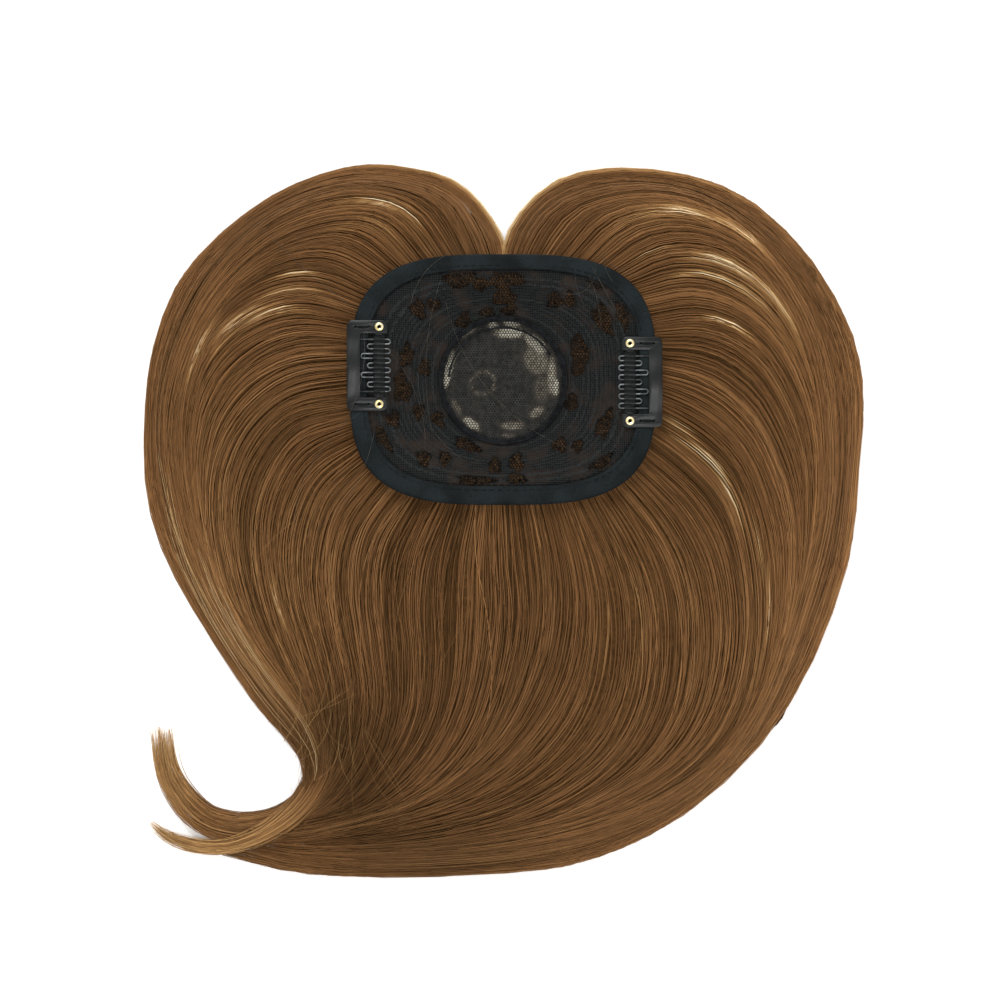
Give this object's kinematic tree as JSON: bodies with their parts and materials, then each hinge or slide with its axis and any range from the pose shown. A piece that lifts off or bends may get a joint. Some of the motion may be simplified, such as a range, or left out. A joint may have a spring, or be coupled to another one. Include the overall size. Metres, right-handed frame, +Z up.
{
  "type": "hair topper",
  "caption": "Clip-in hair topper lying inside up: dished lace base with folded binding, round net crown, hinged snap combs and a swept fan of long hair that ends in a hooked lock.",
  "frame": {"origin": "middle of the footprint, on the surface that the topper lies on", "axes": "+Z up, out of the inside of the cap; +Y to the front, where the hair parts; +X to the right of it"},
  "size_m": [0.261, 0.258, 0.0242],
  "materials": {
    "hair_fibre": "smooth brown hair fibre with golden lights",
    "black_lace": "fine black net and lace",
    "black_satin": "woven black tape",
    "skin_patch": "pale soft sheet",
    "black_lacquer": "glossy black lacquer on spring steel",
    "comb_wire": "thin black lacquer on bright wire",
    "soft_sleeve": "matt soft sleeve",
    "brass": "polished pale brass"
  },
  "bodies": {
    "topper": {"hair": "hair_fibre", "lace_cap": "black_lace", "binding": "black_satin", "crown_ring": "black_satin", "crown_net": "black_lace", "scalp_patch": "skin_patch", "clip_plate_left": "black_lacquer", "eyelet_left_front": "brass", "eyelet_left_back": "brass", "strap_end_left_front": "black_lacquer", "strap_end_left_back": "black_lacquer", "clip_plate_right": "black_lacquer", "eyelet_right_front": "brass", "eyelet_right_back": "brass", "strap_end_right_front": "black_lacquer", "strap_end_right_back": "black_lacquer"},
    "comb_left": {"comb_wire_left": "comb_wire", "comb_sleeve_left": "soft_sleeve"},
    "comb_right": {"comb_wire_right": "comb_wire", "comb_sleeve_right": "soft_sleeve"}
  },
  "joints": [
    {"name": "comb_left_hinge", "type": "hinge", "parent": "topper", "child": "comb_left", "pos_m": [-0.04454, 0.05646, 0.0228], "axis": [0, 1, 0], "range_deg": [0, 30]},
    {"name": "comb_right_hinge", "type": "hinge", "parent": "topper", "child": "comb_right", "pos_m": [0.04528, 0.05051, 0.0228], "axis": [0, -1, 0], "range_deg": [0, 30]}
  ]
}
